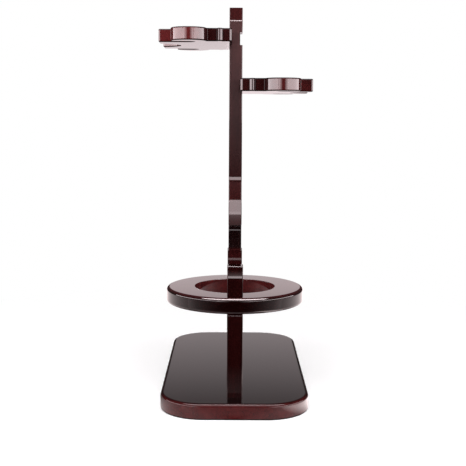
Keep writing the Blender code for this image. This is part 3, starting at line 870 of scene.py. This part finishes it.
def holder_half(tip):
    """Half of a plate's plan, from the upright to the tip: neck, bead, cove, lobe, slot, tine, notch."""
    inner = SHAFT_THICKNESS / 2 - GROOVE_DEPTH
    half = arc((inner + HOLDER_CORNER, HOLDER_NECK_V - HOLDER_CORNER), HOLDER_CORNER, 180, 90, 10)
    half.append((HOLDER_BEAD_U - HOLDER_BEAD_RADIUS, HOLDER_NECK_V))
    half += arc((HOLDER_BEAD_U, HOLDER_FLAT_V), HOLDER_BEAD_RADIUS, 180, 0, 20)
    reach = LOBE_RADIUS + COVE_RADIUS
    lean = math.degrees(math.asin((HOLDER_FLAT_V + COVE_RADIUS - LOBE_V) / reach))
    cove_u = LOBE_U - reach * math.cos(math.radians(lean))
    half += arc((cove_u, HOLDER_FLAT_V + COVE_RADIUS), COVE_RADIUS, 270, 360 - lean, 16)
    half += arc((LOBE_U, LOBE_V), LOBE_RADIUS, 180 - lean, 0, 32)[1:]
    slot = SLOT_WIDTH / 2
    half += arc((SLOT_FOOT_U + slot, LOBE_V - slot), slot, 90, 270, 24)
    half += arc((tip - TINE_CORNER, LOBE_V - SLOT_WIDTH - TINE_CORNER), TINE_CORNER, 90, 0, 12)
    notch = (NOTCH_HALF**2 + NOTCH_DEPTH**2) / (2 * NOTCH_DEPTH)
    notch_u = tip - NOTCH_DEPTH + notch
    opening = math.degrees(math.acos((tip - notch_u) / notch))
    # The notch stops just short of the middle, where its mirror image takes over
    half += arc((notch_u, 0), notch, opening, NOTCH_END, 24)
    return half


for plate, side, low, high, shift, plate_light_levels in (
    ("upper", -1, upper_low, upper_high, (0.0, 0.0, 0.2), (0.4, 0.38, 1.6, 1.75)),
    ("lower", 1, lower_low, lower_high, (0.15, 0.4, 0.0), (0.45, 0.28, 1.15, 0.6)),
):
    tip = max(abs(low[0]), abs(high[0]))
    plate_mesh = sawn_board(
        f"{plate}_plate", mirrored(holder_half(tip)), high[2] - low[2], (HOLDER_ROUND, HOLDER_ROUND)
    )
    top = (high[2] - low[2]) / 2 - HAIR
    # The tops are dulled. The cove between bead and lobe is dulled too, so that it shows no gloss and reads
    # dark: painted shade in the cove.
    mark_dulled(
        plate_mesh,
        lambda place, on_edge: place.z > top or on_edge and COVE_SHADE[0] < place.x < COVE_SHADE[1],
    )
    plate_mesh.transform(Matrix.Translation((0, upright_y, (low[2] + high[2]) / 2)))
    if side < 0:
        plate_mesh.transform(Matrix.Rotation(math.pi, 4, "Z"))
    # The stain strength along each plate paints light: darker near the upright and lighter out at the lobes,
    # the upper plate's tip most of all.
    plate_light_bands = [(side * reach * tip, stained, 0) for reach, stained in zip(PLATE_LIGHT_REACHES, plate_light_levels)]
    # Their arrises lose nearly all lacquer and take a fifth of the stain's strength, which paints a dark
    # outline of shade along the plates' edges.
    plate_finish = mahogany(
        f"{plate}_plate_lacquer",
        1,
        shift,
        face=0.3,
        ruddy=1.2,
        coat_roughness=0.08,
        arris_dulling=0.95,
        arris_stain=0.2,
        bands=("X", plate_light_bands),
    )
    holder = made_piece(f"{plate}_plate", plate_mesh, plate_finish)
    dowel_bores(holder, f"{plate}_holder_dowel_near", f"{plate}_holder_dowel_far")
    polished(holder)
    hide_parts(f"{plate}_holder")
    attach(holder, "root")


# Dowels
# Eight fluted beech dowels: two through the ring at each leg, and two from the upright into each holder
# plate. They are glued in and hidden once the stand is together.
DOWEL_FLUTES = 12
FLUTE_FLOOR = 0.94
CHAMFER_LENGTH = 1.4 * MM
CHAMFER_END = 0.8


def dowel_tree(sizes):
    """A tree for fluted dowels with chamfered ends, in pairs on two places."""
    tree, given = tree_with("fluted_dowels", sizes)
    rod = node(
        tree,
        "GeometryNodeMeshCylinder",
        {"Vertices": 60, "Side Segments": 20, "Radius": given["Radius"], "Depth": given["Length"]},
    ).outputs["Mesh"]
    place = node(tree, "GeometryNodeInputPosition").outputs["Position"]
    parts = node(tree, "ShaderNodeSeparateXYZ", {"Vector": place}).outputs
    angle = sum_of(tree, parts["Y"], parts["X"], "ARCTAN2")
    wave = sum_of(tree, sum_of(tree, angle, DOWEL_FLUTES, "MULTIPLY"), 0, "COSINE")
    flute = scaled(tree, wave, -1, 1, FLUTE_FLOOR, 1)
    half_length = sum_of(tree, given["Length"], 0.5, "MULTIPLY")
    from_end = sum_of(tree, half_length, sum_of(tree, parts["Z"], 0, "ABSOLUTE"), "SUBTRACT")
    chamfer = scaled(tree, from_end, 0, CHAMFER_LENGTH, CHAMFER_END, 1)
    shrink = sum_of(tree, flute, chamfer, "MULTIPLY")
    scale = node(tree, "ShaderNodeCombineXYZ", {"X": shrink, "Y": shrink, "Z": 1}).outputs["Vector"]
    shaped = node(tree, "ShaderNodeVectorMath", {0: place, 1: scale}, operation="MULTIPLY").outputs["Vector"]
    dowel = node(tree, "GeometryNodeSetPosition", {"Geometry": rod, "Position": shaped}).outputs["Geometry"]
    pairs = in_pairs(tree, dowel, given["First Place"], given["Step"], given["Spacing"], given["Turn"])
    close_tree(tree, pairs, given["Finish"])
    return tree


beech, bare_wood, _ = flecked("beech", 900, 4, (0.42, 0.27, 0.14, 1), (0.60, 0.42, 0.25, 1))
bare_wood.inputs["Roughness"].default_value = 0.7
dowel_groups = (
    ("post_dowels", "front_post_dowel", "rear_post_dowel", 2, (0.0, 0.0, 0.0)),
    ("plate_dowels", "upper_holder_dowel", "lower_holder_dowel", 0, (0.0, math.pi / 2, 0.0)),
)
for name, first, second, axis, turn in dowel_groups:
    middles = []
    for group in (first, second):
        near_box, far_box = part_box(f"{group}_near"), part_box(f"{group}_far")
        middles.append((Vector(near_box[0]) + Vector(far_box[1])) / 2)
    low, high = (Vector(corner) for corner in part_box(f"{first}_near"))
    dowel_sizes = {
        "First Place": middles[0],
        "Step": middles[1] - middles[0],
        "Spacing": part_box(f"{first}_far")[0][1] - low.y,
        "Radius": min(high - low) / 2,
        "Length": (high - low)[axis],
        "Turn": turn,
    }
    dowels = grown_piece(name, dowel_tree(dowel_sizes), dowel_sizes, beech)
    dowels.data.set_sharp_from_angle(angle=CREASE)
    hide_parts(*[f"{group}_{end}" for group in (first, second) for end in ("near", "far")])
    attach(dowels, "root")


# Floor
# A plain pale floor that the stand's shadow falls on. It runs out to plain white away from the stand. The
# lacquer sees it dark in front, towards the room, and bright to the sides, with one brighter patch beside
# the base's right front corner.
FLOOR_RADIUS = 1.1
FLOOR_GAP = 0.02 * MM
FLOOR_COLOUR = (0.58, 0.645, 0.64, 1)
FLOOR_LIFT = 0.45
WHITE_FROM = (0.16, 0.42)
GLEAM_COLOUR = (1, 0.86, 0.86, 1)
GLEAM_GROWTH = 1.5
GLEAM_ENDS = (-0.25, 0.25)
GLEAM_LEVELS = (1.9, 2.4)
SIDES_FROM = (base_high[0] + 0.01, base_high[0] + 0.08)
FRONT_UNTIL = (base_low[1] + 0.02, base_low[1] + 0.06)
NEAR_GLEAM = 0.25
NEAR_FROM = (base_low[1] - 0.12, base_low[1] - 0.01)
NEAR_UNTIL = (base_low[1] - 0.014, base_low[1] - 0.006)
CORNER_GLEAM = 3
CORNER_X = ((0.053, 0.07), (0.1, 0.14))
CORNER_Y = ((-0.18, -0.15), (-0.06, -0.03))


def within(tree, value, rise, fall, most=1):
    """The most between two ranges of a value: up over the first, and down to nothing over the second."""
    return sum_of(tree, scaled(tree, value, *rise, 0, most), scaled(tree, value, *fall, 1, 0), "MULTIPLY")


floor_mesh = bpy.data.meshes.new("floor")
body = bmesh.new()
below = Matrix.Translation((0, 0, -FLOOR_GAP))
bmesh.ops.create_circle(body, cap_ends=True, segments=96, radius=FLOOR_RADIUS, matrix=below)
body.to_mesh(floor_mesh)
body.free()
floor_paint = bpy.data.materials.new("floor_paint")
floor_paint.use_nodes = True
tree = floor_paint.node_tree
matt = tree.nodes["Principled BSDF"]
matt.inputs["Base Color"].default_value = FLOOR_COLOUR
matt.inputs["Roughness"].default_value = 0.9
matt.inputs["Specular IOR Level"].default_value = 0.0
place = node(tree, "ShaderNodeTexCoord").outputs["Object"]
away = node(tree, "ShaderNodeVectorMath", {0: place}, operation="LENGTH").outputs["Value"]
fade = {"Value": away, "From Min": WHITE_FROM[0], "From Max": WHITE_FROM[1]}
far_off = node(tree, "ShaderNodeMapRange", fade, interpolation_type="SMOOTHSTEP").outputs["Result"]
path = node(tree, "ShaderNodeLightPath").outputs
lift = node(tree, "ShaderNodeEmission", {"Strength": FLOOR_LIFT}).outputs["Emission"]
white = node(tree, "ShaderNodeEmission", {"Strength": 1.0}).outputs["Emission"]
lit = node(tree, "ShaderNodeAddShader", {0: matt.outputs["BSDF"], 1: lift}).outputs["Shader"]
seen = node(tree, "ShaderNodeMixShader", {0: far_off, 1: lit, 2: white}).outputs["Shader"]
from_front = node(tree, "ShaderNodeVectorMath", {0: place, 1: (0, base_high[1], 0)}).outputs["Vector"]
bearing = node(tree, "ShaderNodeVectorMath", {0: from_front}, operation="NORMALIZE").outputs["Vector"]
backwards = node(tree, "ShaderNodeSeparateXYZ", {"Vector": bearing}).outputs["Y"]
gleam = sum_of(tree, scaled(tree, backwards, -1, 1, 0, 1), GLEAM_GROWTH, "POWER")
spot = node(tree, "ShaderNodeSeparateXYZ", {"Vector": place}).outputs
gleam = sum_of(tree, gleam, scaled(tree, spot["X"], *GLEAM_ENDS, *GLEAM_LEVELS), "MULTIPLY")
off_side = scaled(tree, sum_of(tree, spot["X"], 0, "ABSOLUTE"), *SIDES_FROM, 0, 1)
before = scaled(tree, spot["Y"], *FRONT_UNTIL, 1, 0)
gleam = sum_of(tree, gleam, sum_of(tree, off_side, before, "MAXIMUM"), "MULTIPLY")
gleam = sum_of(tree, gleam, within(tree, spot["Y"], NEAR_FROM, NEAR_UNTIL, NEAR_GLEAM))
right_corner = within(tree, spot["X"], *CORNER_X, CORNER_GLEAM)
right_corner = sum_of(tree, right_corner, within(tree, spot["Y"], *CORNER_Y), "MULTIPLY")
gleam = sum_of(tree, gleam, right_corner)
sheen = node(tree, "ShaderNodeEmission", {"Color": GLEAM_COLOUR, "Strength": gleam}).outputs["Emission"]
mirrored_floor = node(
    tree, "ShaderNodeMixShader", {0: path["Is Glossy Ray"], 1: matt.outputs["BSDF"], 2: sheen}
).outputs["Shader"]
shown = node(
    tree, "ShaderNodeMixShader", {0: path["Is Camera Ray"], 1: mirrored_floor, 2: seen}
).outputs["Shader"]
tree.links.new(shown, tree.nodes["Material Output"].inputs["Surface"])
floor = made_piece("floor", floor_mesh, floor_paint)


# Studio light
# A white backdrop, a long low soft box on each side whose light spills forwards, a wide one overhead with a
# narrow bright strip under its back part, a pale canopy above the camera and little light below that, so
# that the lacquer shows the wood to the front and shines to the sides and the top.
WARM = (1.0, 0.87, 0.89, 1)
BACKDROP_EDGE = (0.085, 0.125)
BACKDROP_FRONT = (0, 0.1)
BACKDROP = ((0.0, 0.98), (0.175, 0.99), (0.235, 0.63), (0.27, 0.42), (0.3, 0.21), (0.4, 0.05))
ROOM_HEIGHTS = (-0.1, 0.1)
ROOM_LEVELS = (0.02, 0.06)
CANOPY = ((0.08, 0), (0.17, 0.05), (0.3, 0.2), (0.5, 0.45), (0.64, 1.0), (0.7, 1.4), (0.74, 0))
CANOPY_UNIT = 4
CANOPY_BACK = (-0.1, 0)
CANOPY_EDGE = (0.45, 0.75)
SPILL_RISE = (0.13, 0.56)
SPILL_FALL = (0.56, 0.6)
SPILL_HEIGHTS = ((-0.06, -0.02), (0.11, 0.16))
LAMP_AIM = Vector((0, 0, 0.2))
SIDE_BEARING = math.radians(71)
SIDE_DISTANCE = 1.3
SIDE_RISE = 0.1
SIDE_BOX = (2.26, 0.24)
SIDE_RADIANCE = 7.5
TOP_BOX = (1.7, 1.24)
TOP_BOX_PLACE = Vector((0, -0.74, 1.35))
TOP_BOX_RADIANCE = 4.8
TOP_STRIP = (1.7, 0.24)
TOP_STRIP_PLACE = Vector((0, -0.31, 1.2))
TOP_STRIP_RADIANCE = 32
DOWN = Vector((0, 0, -1))


def by_height(tree, height, stops, unit=1):
    """A grey that goes through the stops, a height and a level each, as shares of a unit."""
    ramp = node(tree, "ShaderNodeValToRGB", {"Fac": height})
    steps = ramp.color_ramp.elements
    steps[0].position = stops[0][0]
    steps[1].position = stops[-1][0]
    for where, _ in stops[1:-1]:
        steps.new(where)
    for step, (_, level) in zip(steps, stops):
        step.color = (level / unit, level / unit, level / unit, 1)
    return ramp.outputs["Color"]


world = bpy.data.worlds.new("studio")
bpy.context.scene.world = world
world.use_nodes = True
tree = world.node_tree
air = tree.nodes["Background"]
heading = node(tree, "ShaderNodeTexCoord").outputs["Generated"]
parts = node(tree, "ShaderNodeSeparateXYZ", {"Vector": heading}).outputs
off_axis = sum_of(tree, parts["X"], 0, "ABSOLUTE")
behind = scaled(tree, parts["Y"], *BACKDROP_FRONT, 0, 1)
behind = sum_of(tree, scaled(tree, off_axis, *BACKDROP_EDGE, 1, 0), behind, "MULTIPLY")
room = scaled(tree, parts["Z"], *ROOM_HEIGHTS, *ROOM_LEVELS)
backdrop = by_height(tree, parts["Z"], BACKDROP)
around = node(tree, "ShaderNodeMix", {"Factor": behind, "A": room, "B": backdrop}).outputs["Result"]
ahead = scaled(tree, parts["Y"], *CANOPY_BACK, CANOPY_UNIT, 0)
ahead = sum_of(tree, ahead, scaled(tree, off_axis, *CANOPY_EDGE, 1, 0), "MULTIPLY")
canopy = by_height(tree, parts["Z"], CANOPY, CANOPY_UNIT)
around = sum_of(tree, around, sum_of(tree, canopy, ahead, "MULTIPLY"))
forwards = sum_of(tree, sum_of(tree, parts["Y"], -1, "MULTIPLY"), 0.01, "MAXIMUM")
aside = sum_of(tree, off_axis, forwards, "DIVIDE")
spill = within(tree, aside, SPILL_RISE, SPILL_FALL, SIDE_RADIANCE)
low_band = within(tree, parts["Z"], *SPILL_HEIGHTS)
around = sum_of(tree, around, sum_of(tree, spill, low_band, "MULTIPLY"))
seen = node(tree, "ShaderNodeLightPath").outputs["Is Camera Ray"]
level = node(tree, "ShaderNodeMix", {"Factor": seen, "A": around, "B": 1.0}).outputs["Result"]
tree.links.new(level, air.inputs["Strength"])
tint = node(tree, "ShaderNodeMix", {"Factor": seen, "A": WARM, "B": (1, 1, 1, 1)}, data_type="RGBA")
tree.links.new(tint.outputs["Result"], air.inputs["Color"])


def soft_box(name, place, towards, size, radiance, lights=True):
    """An area lamp of even brightness. One that doesn't light the surfaces only shows in their gloss."""
    width, height = size
    lamp = bpy.data.lights.new(name, "AREA")
    lamp.shape = "RECTANGLE"
    lamp.size = width
    lamp.size_y = height
    lamp.energy = radiance * math.pi * width * height
    lamp.color = WARM[:3]
    box = bpy.data.objects.new(name, lamp)
    box.location = place
    box.rotation_euler = towards.to_track_quat("-Z", "Y").to_euler()
    box.visible_camera = False
    box.visible_diffuse = lights
    bpy.context.scene.collection.objects.link(box)


for side in (-1, 1):
    out = Vector((side * math.sin(SIDE_BEARING), -math.cos(SIDE_BEARING), SIDE_RISE)) * SIDE_DISTANCE
    soft_box("side_box", LAMP_AIM + out, -out, SIDE_BOX, SIDE_RADIANCE)
soft_box("top_box", TOP_BOX_PLACE, DOWN, TOP_BOX, TOP_BOX_RADIANCE)
soft_box("top_strip", TOP_STRIP_PLACE, DOWN, TOP_STRIP, TOP_STRIP_RADIANCE, lights=False)


# Camera
# A slightly long lens, just below the height of the lower holder plate and tipped down a little, as in
# the photo.
PHOTO_PIXELS = 466
FOCAL_PIXELS = 933.5
CAMERA_PLACE = (-2.88 * MM, -769.25 * MM, 218.8 * MM)
TIP_DOWN = 0.1244
TURN_RIGHT = 0.0017
ROLL = 0.0055
camera_data = bpy.data.cameras.new("camera")
camera_data.sensor_width = 36
camera_data.lens = FOCAL_PIXELS / PHOTO_PIXELS * camera_data.sensor_width
camera = bpy.data.objects.new("camera", camera_data)
aim = (
    Matrix.Rotation(-TURN_RIGHT, 4, "Z")
    @ Matrix.Rotation(math.pi / 2 - TIP_DOWN, 4, "X")
    @ Matrix.Rotation(ROLL, 4, "Z")
)
camera.matrix_world = Matrix.Translation(CAMERA_PLACE) @ aim
bpy.context.scene.collection.objects.link(camera)
bpy.context.scene.camera = camera

bpy.context.scene.view_settings.view_transform = "Standard"
